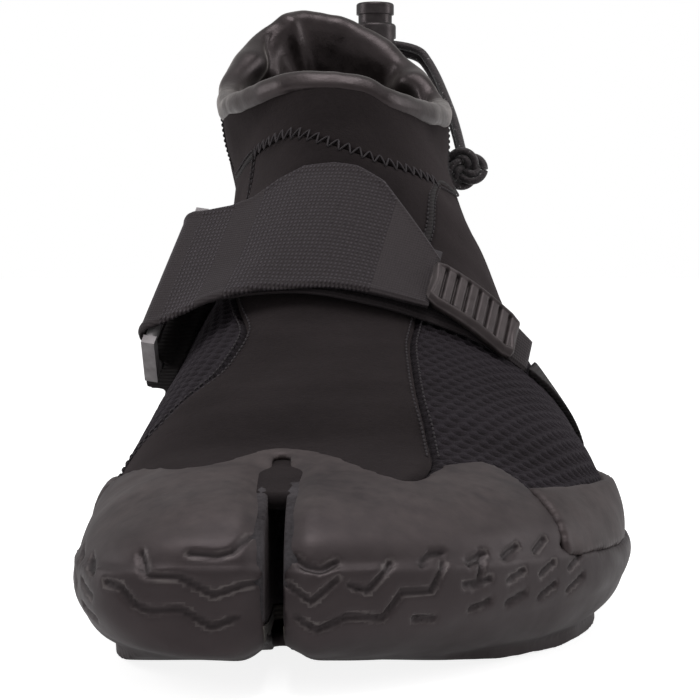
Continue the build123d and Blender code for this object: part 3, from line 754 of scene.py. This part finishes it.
panel("vamp_panel",
      patch([MEDIAL_SEAM[0], (TOE_END, 96), LATERAL_SEAM[0]], ZIGZAG, MEDIAL_SEAM, LATERAL_SEAM, 150, 60),
      NEOPRENE, soft_skin, ("vamp",), lift=0.1)
panel("medial_mesh_panel",
      patch([(TOE_END, MEDIAL_SOLE), MEDIAL_SEAM[0]], [(HEEL_START, MEDIAL_SOLE), MEDIAL_CORNER],
            [(TOE_END, MEDIAL_SOLE), (HEEL_START, MEDIAL_SOLE)], MEDIAL_SEAM[:-1] + [MEDIAL_CORNER],
            260, 110),
      MESH, dimples, ("medial_mesh",))
panel("lateral_mesh_panel",
      patch([LATERAL_SEAM[0], (TOE_END, -SOLE_SIDE)], LATERAL_BACK,
            LATERAL_SEAM[:8], [(TOE_END, -SOLE_SIDE), LATERAL_BACK[-1]], 250, 120),
      MESH, dimples, ("lateral_mesh",))
panel("front_cuff_panel",
      patch([(u - 1.6, angle) for u, angle in ZIGZAG], collar_line(*CUFF_ENDS[::-1]),
            CUFF_LEFT, CUFF_RIGHT, 40, 110),
      CUFF, soft_skin, ("front_cuff",), lift=0.15, edge=0.5)
panel("medial_heel_panel",
      patch([(HEEL_START, BACK_SEAM), MEDIAL_CORNER], collar_line(BACK_SEAM, CUFF_ENDS[1]),
            heel_seam(BACK_SEAM), [MEDIAL_CORNER, (92, 132)] + CUFF_LEFT, 60, 90),
      CUFF, soft_skin, ("medial_ankle_panel",))
panel("lateral_heel_panel",
      patch(LATERAL_BACK + [(HEEL_START, BACK_SEAM - 360)], collar_line(CUFF_ENDS[0], BACK_SEAM - 360),
            LATERAL_CUFF, heel_seam(BACK_SEAM - 360), 70, 100),
      CUFF, soft_skin, ("lateral_ankle_panel",))


def seam_tape(name, seam, replaces):
    """A flat ribbed tape sewn over a seam."""
    width, half_thickness = 1.8, 0.4
    middle, out, side = seam_frame(seam, 0.8)
    across = np.linspace(-0.5, 0.5, 7)
    crown = 0.45 - 1.2 * across ** 2
    flat = middle[:, None] + side[:, None] * (across * width)[None, :, None]
    vertices, faces = slab(flat + out[:, None] * crown[None, :, None], flat - out[:, None] * half_thickness)
    make_mesh(name, vertices, faces, "boot", TAPE, replaces)


for side, seam in (("medial", CUFF_LEFT), ("lateral", LATERAL_CUFF)):
    seam_tape(f"{side}_cuff_tape", seam, (f"{side}_cuff_binding",))
threads("cuff_zigzag_stitching", zigzag_stitches(ZIGZAG, 1.4, 3.6, 0.45), 0.24)
for side, seam in (("medial", MEDIAL_SEAM[1:]), ("lateral", LATERAL_SEAM[1:])):
    rows = run_stitches(seam, 1.7, 0.1, 1.1) + run_stitches(seam, 1.7, 0.1, -1.1)
    threads(f"{side}_vamp_stitching", rows, 0.22)
for side, seam in (("medial", CUFF_LEFT), ("lateral", CUFF_RIGHT)):
    threads(f"{side}_cuff_stitching", run_stitches(seam, 1.5, 0.4, 1.1), 0.25)


# ---------------- collar
# (angle, half width in degrees, height, turn down the lining in degrees) of each fold in the collar's skin
COLLAR_FOLDS = [(205, 11, 2.6, 90), (228, 8, -1.8, -45), (243, 5, 1.2, 30), (296, 12, 0.8, -30),
                (328, 8, 2.8, -80), (344, 5, -1.6, 40), (87, 2.2, -1.3, 10), (80, 3, 0.9, 12),
                (92, 2.5, 0.5, 8)]

# (up, out) of the collar's profile, from the outside seam over the lip to the inside hem and back
COLLAR_PROFILE = [(-9.5, 0), (-8.5, 0.7), (-6, 1.2), (-3.2, 1.1), (-1.2, 0.3), (-0.1, -1.4), (-0.4, -3.4),
                  (-1.9, -5), (-4.5, -5.7), (-8, -5.6), (-12, -5), (-17, -4.4), (-21, -4), (-22, -3.3),
                  (-18, -2.9), (-12, -2.5), (-9.5, -1.8)]
COLLAR_FRONT = 0.66  # the band's height in front, as a share of its height at the back
COLLAR_BACK = 262  # the angle where the band is tallest


def collar():
    """The rolled smooth-skin collar: outside band, rolled lip, and the folded lining inside."""
    angles = np.linspace(0, 360, 480, endpoint=False)
    station = collar_station(angles)
    edge = surface(station, angles)
    up = unit(surface(station + 0.4, angles) - surface(station - 0.4, angles))
    out = outward(station, angles)
    rear = ramp(np.cos(np.radians(angles - COLLAR_BACK)), -0.35, 0.5)
    fine = edge_curve(COLLAR_PROFILE, 72)
    tall = (COLLAR_FRONT + (1 - COLLAR_FRONT) * rear)[:, None, None]
    points = edge[:, None] + up[:, None] * fine[None, :, :1] * tall + out[:, None] * fine[None, :, 1:]
    lengths = np.linspace(0, 1, len(fine))[None]
    height = np.zeros(points.shape[:2])
    on_lining = ramp(lengths, 0.16, 0.34) * (1 - ramp(lengths, 0.62, 0.8))
    for middle, width, rise, skew in COLLAR_FOLDS:
        place = (angles[:, None] - middle - skew * (lengths - 0.3) + 180) % 360 - 180
        height += rise * np.exp(-(place / width) ** 2) * on_lining
    height += (0.15 + 0.3 * rear[:, None]) * waves(points, 15, 12) + 0.12 * waves(points, 6, 13)
    normal = unit(np.cross(np.gradient(points, axis=0), np.gradient(points, axis=1)))
    middle_of_wall = edge + up * -5 + out * -2
    facing = np.sign(np.sum(normal * (points - middle_of_wall[:, None]), axis=-1).mean())
    points = points + facing * normal * (height * (1 - ramp(lengths, 0.8, 0.9)))[..., None]
    faces = grid_faces(len(angles), len(fine), close_rows=True, close_columns=True)
    make_mesh("collar_roll", points, faces, "boot", SKIN, ("collar_binding",))


collar()


# ---------------- moulded rubber
CLEFT_X = -15.0  # the middle of the split between the toes
SIDE_WALL, SIDE_DROP = 10.5, 2.4  # the wall below this height bulges down by up to this much
GROOVE_MIDDLE = np.array([-8.0, -85.0])  # the grooves' places are taken round this point
GROOVE_STEP = 52  # millimetres along the wall per radian round that point
GROOVE_REACH = 75  # the grooves end this far round the toe, on both sides
GROOVE_DEPTH = 0.95
CREASE_Z, CREASE_DEPTH = 28.8, 0.4  # the crease where the toe's top meets its wall
WALL_BULK = 0.95  # how much fuller the wall is from the ball back
LIP_ROUNDING = 3.0  # how far the edges of the split are rounded back
GROOVES = [  # (distance round the toe, height) along each moulded groove
    [(-25.3, 24.6), (-23.1, 21.4), (-18.9, 21.2), (-14.5, 18.2), (-10.5, 19.8), (-7.2, 20.0)],
    [(-18, 24.8), (-14.3, 24.4), (-12.2, 25), (-10.5, 27.7)],
    [(-29.1, 19.8), (-26.7, 19.4), (-24.5, 16.6), (-22.3, 15.6), (-18.9, 16), (-14.7, 13), (-11.5, 14.4)],
    [(-3.9, 24.3), (-1.6, 22.6), (0.7, 21.9), (3.2, 22.9)],
    [(-4.3, 19.5), (-0.6, 16.9), (3.3, 20.3)],
    [(5.3, 19.3), (8.2, 18.2), (12.3, 22.2)],
    [(18.1, 21.7), (20.4, 23.1), (23.1, 23.1)],
    [(-3, 14), (0.3, 12), (4.9, 14.1), (10.8, 13.4), (14, 17.6), (19.5, 17.3), (22.5, 21.5)],
    [(26.3, 17.5), (29.5, 17.7), (31.6, 22.3)],
    [(16.4, 12.7), (20.4, 12.2)],
]
for step in range(4):  # short slanted grooves go on down both sides, in three rows
    for row in (12.5, 16.5, 20.5):
        GROOVES.append([(28 + 9 * step, row + 0.6), (32.5 + 9 * step, row + 1.6 + 0.4 * step)])
        GROOVES.append([(-37 - 9 * step, row + 1.8), (-32.5 - 9 * step, row + 0.4)])


def line_distance(points, line):
    """Distance of 2-D points from a line of straight runs."""
    nearest = np.full(len(points), 1e6)
    line = np.array(line, float)
    for start, end in zip(line, line[1:]):
        run = end - start
        t = np.clip((points - start) @ run / (run @ run), 0, 1)
        nearest = np.minimum(nearest, np.linalg.norm(points - start - t[:, None] * run, axis=1))
    return nearest


def groove_depth(points):
    """1 in the middle of a groove on the toe's wall, 0 beside it; and the distance round the toe."""
    ahead = GROOVE_MIDDLE[1] - points[:, 1]
    along = GROOVE_STEP * np.arctan2(points[:, 0] - GROOVE_MIDDLE[0], ahead)
    wall = (ahead > 0) & (np.abs(along) < GROOVE_REACH)
    depth = np.zeros(len(points))
    place = np.stack([along, points[:, 2]], -1)[wall]
    for groove in GROOVES:
        depth[wall] = np.maximum(depth[wall], 1 - ramp(line_distance(place, groove), 0.1, 0.85))
    return depth, along


def toe_relief(points, normals):
    """Zigzag grooves, a crease over them, the rounded lips of the split and the fuller sole wall."""
    x, y, z = points.T
    depth, along = groove_depth(points)
    faces_out = ramp(-normals[:, 1] + 0.6 * np.abs(normals[:, 0]), 0.1, 0.4)
    above_crease = z - CREASE_Z + 0.03 * np.maximum(along, 0)
    crease = CREASE_DEPTH * np.exp(-(above_crease / 1.8) ** 2) * ramp(-y, 112, 122)
    bulk = WALL_BULK * (1 - ramp(-y, 60, 95)) * ramp(normals[:, 2], -0.5, 0.0)
    swell = bulk - GROOVE_DEPTH * depth * faces_out - crease + 0.16 * waves(points, 12, 21)
    push = normals * swell[:, None]
    inwards = unit(np.stack([0 * x, np.minimum(y + 118, 0), z - 19], -1))
    lips = LIP_ROUNDING * (1 - ramp(np.abs(x - CLEFT_X), 0.8, 8.5)) ** 2 * ramp(-y, 99, 108)
    low = np.clip(z / SIDE_WALL, 0, 1)
    push[:, 2] -= SIDE_DROP * 4 * low * (1 - low) * ramp(y, -136, -112) * (1 - ramp(y, -60, -20))
    return push - inwards * lips[:, None], depth


def moulded_waves(points, normals):
    """Low swells, and a little more bulk so that the softened edges still meet the next piece."""
    return normals * (0.75 + 0.12 * waves(points, 14, 23))[:, None], np.zeros(len(points))


remeshed("toe_cap_and_outsole", ["outsole", "toe_cap"], "boot", SOLE, 0.7, 5, toe_relief, 1)
for node in ("lateral_rand", "medial_rand", "heel_counter"):
    remeshed(f"{node}_skin", [node], "boot", CAP, 0.6, 3, moulded_waves)
remeshed("toe_gusset_knit", ["toe_gusset"], "boot", GUSSET, 0.7, 3)
remeshed("heel_tape", ["heel_seam_tape"], "boot", TAPE, 0.5, 3)
remeshed("strap_anchor_tape", ["strap_anchor_patch"], "boot", TAPE, 0.5, 3)
remeshed("ring_anchor_loop", ["ring_anchor"], "boot", TAPE, 0.5, 3)
remeshed("cord_outlet_grommet", ["cord_outlet"], "boot", TAB, 0.35, 4)


# ---------------- instep strap
# The strap's own directions: across the foot, away from it, and against the strap's width. Its lines are
# (across, away) and its edges are (across, along the width).
DOWN = unit(np.array((-0.209, -0.730, -0.650)))
ACROSS = np.array((0.978, -0.157, -0.139))
ACROSS = unit(ACROSS - DOWN * (ACROSS @ DOWN))
AWAY = np.cross(DOWN, ACROSS)
FLAP_LINE = [(-50, 57.3), (-44, 59.2), (-36, 62.1), (-26, 65.6), (-16, 67.6), (-4, 67.2), (4, 66.2),
             (10.2, 64.8)]
FLAP_NEAR = [(-60, 9.7), (-51, 10), (-45, 13), (-38, 15.6), (-26, 18.8), (-14, 20.3), (-4, 20.6),
             (10.5, 20.8)]
FLAP_FAR = [(-60, 50.8), (-50, 50.8), (-42, 51.6), (-37, 53.6), (-32, 59.4), (-27, 63), (-20, 63.6),
            (-14, 62.8), (-7, 59), (10.5, 37.5)]
BAR, FOLD_RADIUS = (-50.0, 54.6), 2.65  # the flap folds round the ring's bar
SEWN_ZONES = [(11.5, 19.5), (26, 58.5)]  # where the pile shows, along the flap
LOWER_LINE = [(-45.2, 55.9), (-36, 59.9), (-26, 63.5), (-16, 65.5), (-4, 65), (4, 63.9), (10, 62.4),
              (20, 59.2), (28, 54.9), (33, 50.9)]
LOWER_NEAR, LOWER_FAR = [(-60, 20), (60, 20)], [(-60, 45), (0, 45), (12, 36), (33, 30)]
HOOK_LINE = [(across, away + 0.9) for across, away in LOWER_LINE[1:7]]
HOOK_NEAR, HOOK_FAR = [(-60, 23), (60, 23)], [(-60, 42), (60, 42)]


def strap_sheet(line, near, far, rows, columns):
    """Grids of middle points, outward directions and flat fabric places of a strap along a line."""
    fine = edge_curve(line, columns)
    across, out = fine[:, 0], fine[:, 1]
    tangent = unit(np.gradient(fine, axis=0))
    t = np.linspace(0, 1, rows)[:, None]
    along = np.interp(across, *np.array(near).T) * (1 - t) + np.interp(across, *np.array(far).T) * t
    grid = across[:, None] * ACROSS + out[:, None] * AWAY - along[..., None] * DOWN
    away = (-tangent[:, 1])[:, None] * ACROSS + tangent[:, 0][:, None] * AWAY
    flat = np.stack([arc_lengths(fine, 0)[None].repeat(rows, 0), along], -1)
    return grid, np.broadcast_to(away[None], grid.shape), flat, t


def strap_piece(name, sheet, thickness, body, material, replaces, relief=None):
    """A woven piece with rounded edges, from the grids of its strap sheet."""
    grid, away, flat, t = sheet
    rounding = 1 - 0.75 * (1 - ramp(edge_distance(grid), 0, thickness)) ** 2
    half = thickness / 2 * rounding
    raised = relief(flat[..., 0], flat[..., 1], t) if relief else 0 * half
    vertices, faces = slab(grid + away * (half + raised)[..., None],
                           grid - away * (half - raised * 0.8)[..., None])
    return make_mesh(name, vertices, faces, body, material, replaces, flat)


def flap_relief(length, along, t):
    """The front edge waves and stands off; the sewn zone in the middle is sunk a little."""
    front = ramp(1 - t, 0.6, 1.0)
    wave = 0.8 * np.sin(length / 9.5) + 0.4 * np.sin(length / 4.1 + 1)
    sunk = 0.25 * ramp(t, 0.04, 0.08) * (1 - ramp(t, 0.92, 0.96))
    return front * (wave + 0.6) * ramp(length, 12, 22) - sunk


def flap():
    """The webbing flap, folded round the ring's bar, with loop pile in its sewn zones."""
    turns = np.radians(range(300, 95, -15))
    fold = [(BAR[0] + FOLD_RADIUS * cos(a), BAR[1] + FOLD_RADIUS * sin(a)) for a in turns]
    sheet = strap_sheet(fold + FLAP_LINE, FLAP_NEAR, FLAP_FAR, 90, 240)
    piece = strap_piece("strap_flap_webbing", sheet, 1.5, "flap", STRAP, ("strap_flap",),
                        flap_relief)
    piece.data.materials.append(LOOPS)
    lengths = vectors(piece.data.attributes["cloth"].data, "vector")[:, 0]
    for face in piece.data.polygons:
        length = lengths[list(face.vertices)].mean()
        if any(low < length < high for low, high in SEWN_ZONES):
            face.material_index = 1


flap()
strap_piece("strap_lower_webbing", strap_sheet(LOWER_LINE, LOWER_NEAR, LOWER_FAR, 50, 120), 1.3,
            "boot", STRAP, ("strap_lower",))
strap_piece("hook_field", strap_sheet(HOOK_LINE, HOOK_NEAR, HOOK_FAR, 40, 90), 0.5,
            "boot", HOOKS, ("hook_patch",))


TAB_LINE = [(9.3, 66), (19, 62.8), (29.8, 56.6)]
TAB_NEAR = [(9.3, 24.6), (9.9, 23.2), (11.8, 21.9), (27.4, 17.6), (29.2, 17.9), (29.8, 19.5)]
TAB_FAR = [(9.3, 33.8), (9.9, 35.2), (11.8, 35.4), (27.4, 30.6), (29.2, 29.3), (29.8, 27.7)]
TAB_THICKNESS = 3.4
RIB_START, RIB_PITCH = 3.1, 2.75
RIBS_MIDDLE, RIBS_HALF = 12, 10  # the ribs' field along the tab


def pull_tab():
    """The moulded tab: a raised frame round seven crowned ribs with narrow grooves between them."""
    grid, away, flat, _ = strap_sheet(TAB_LINE, TAB_NEAR, TAB_FAR, 90, 240)
    inset = edge_distance(grid)
    half = TAB_THICKNESS / 2 * (1 - 0.7 * (1 - ramp(inset, 0, 1.7)) ** 2)
    field = ramp(inset, 1.5, 2.1)
    rib = (flat[..., 0] - RIB_START) / RIB_PITCH
    from_groove = np.abs(rib - np.round(rib)) * RIB_PITCH
    past_end = np.abs(flat[..., 0] - RIBS_MIDDLE) - RIBS_HALF
    crowns = 0.35 * (1 - ramp(past_end, -0.5, 0.5)) * (ramp(from_groove, 0.1, 0.9) - 1)
    grooves = 0.75 * (1 - ramp(past_end, -0.4, 0.4)) * (1 - ramp(from_groove, 0.12, 0.45))
    top = grid + away * (half + field * (crowns - grooves - 0.25))[..., None]
    vertices, faces = slab(top, grid - away * half[..., None])
    make_mesh("pull_tab_moulding", vertices, faces, "tab", TAB, ("pull_tab",), flat)


pull_tab()


# ---------------- drawcord, knot and lock
STRAND_ROUTE = np.array([(-19.5, 120.5, 134), (-11, 129.5, 135), (17, 129.5, 135), (22, 125, 127.7),
                         (25.5, 115.5, 118), (28, 107, 109.5), (29.3, 99.8, 101.8)])
STRAND_OFFSET = np.array((0, 2, -2))  # from the upper strand to the lower one
CORD = 2.4
KNOT_CENTRE, KNOT_CORD = np.array((30, 97.5, 96.5)), 1.08
BUTTON_TRAVEL = 2.5


def tube(points, radius):
    """Vertices and faces of a tube along a closed loop of points."""
    sides = 10
    ahead = unit(np.roll(points, -1, 0) - np.roll(points, 1, 0))
    side = np.zeros_like(points)
    first = np.cross(ahead[0], (0.3, 0.5, 0.8))
    for i, direction in enumerate(ahead):
        first = unit(first - direction * (first @ direction))
        side[i] = first
    other = np.cross(ahead, side)
    turns = np.linspace(0, 2 * pi, sides, endpoint=False)
    ring = side[:, None] * np.cos(turns)[None, :, None] + other[:, None] * np.sin(turns)[None, :, None]
    vertices = (points[:, None] + ring * radius).reshape(-1, 3)
    return vertices, grid_faces(len(points), sides, close_rows=True, close_columns=True)


def knot():
    """A flat three-lobed knot of two cords laid side by side."""
    t = np.linspace(0, 2 * pi, 120, endpoint=False)
    reach = 2.0 + np.cos(3 * t)
    path = np.stack([1.5 * reach * np.cos(2 * t), 1.3 * np.sin(3 * t), 1.4 * reach * np.sin(2 * t)], -1)
    ahead = np.roll(path, -1, 0) - np.roll(path, 1, 0)
    beside = unit(np.cross(ahead, (0, 1, 0)))
    first, faces = tube(KNOT_CENTRE + path - beside, KNOT_CORD)
    second, _ = tube(KNOT_CENTRE + path + beside, KNOT_CORD)
    faces += [tuple(index + len(first) for index in face) for face in faces]
    return make_mesh("drawcord_knot", np.concatenate([first, second]), faces, "boot", CORD_LOOK,
                     ("cord_knot",))


def strand(name, step, node):
    """One free strand of the drawcord, from the collar's outlet through the lock to the knot."""
    route = [tuple(place) for place in ((STRAND_ROUTE + step * STRAND_OFFSET) * MM).tolist()]
    curve = bpy.data.curves.new(name, "CURVE")
    curve.dimensions = "3D"
    curve.bevel_depth = CORD / 2 * MM
    curve.bevel_resolution = 4
    spline = curve.splines.new("NURBS")
    spline.points.add(len(route) - 1)
    for point, place in zip(spline.points, route):
        point.co = (*place, 1)
    spline.order_u = 3
    spline.use_endpoint_u = True
    spline.resolution_u = 10
    curve.use_fill_caps = True
    piece = bpy.data.objects.new(name, curve)
    link(piece)
    finish_piece(piece, "boot", CORD_LOOK, (node,))


def cord_in_collar():
    """The hidden part of the drawcord, a closed loop just inside the collar's edge."""
    angles = np.arange(0, 360, 3)
    vertices, faces = tube(surface(collar_station(angles) - 3.4, angles, -2.0), CORD / 2)
    make_mesh("drawcord_in_collar", vertices, faces, "boot", CORD_LOOK, ("collar_drawcord",))


def pressed(points, normals):
    """The hidden spring is shown at its pressed length, so the button clears it at both limits."""
    above = points[:, 2] - points[:, 2].min()
    drop = above / above.max() * (BUTTON_TRAVEL + 0.2)
    return np.stack([0 * drop, 0 * drop, -drop], -1), 0 * drop


cord_in_collar()
spring = remeshed("lock_spring_coil", ["lock_spring"], "lock", STEEL, 0.15, 1, pressed)
drawcord_knot = knot()
strand("upper_strand", 0, "cord_strand_upper")
strand("lower_strand", 1, "cord_strand_lower")

for node, look in (("lock_barrel", LOCK), ("lock_button", LOCK), ("strap_ring", RING),
                   ("insole_board", BOARD), ("footbed", FOAM)):
    NODES[node].data.materials.clear()
    NODES[node].data.materials.append(look)
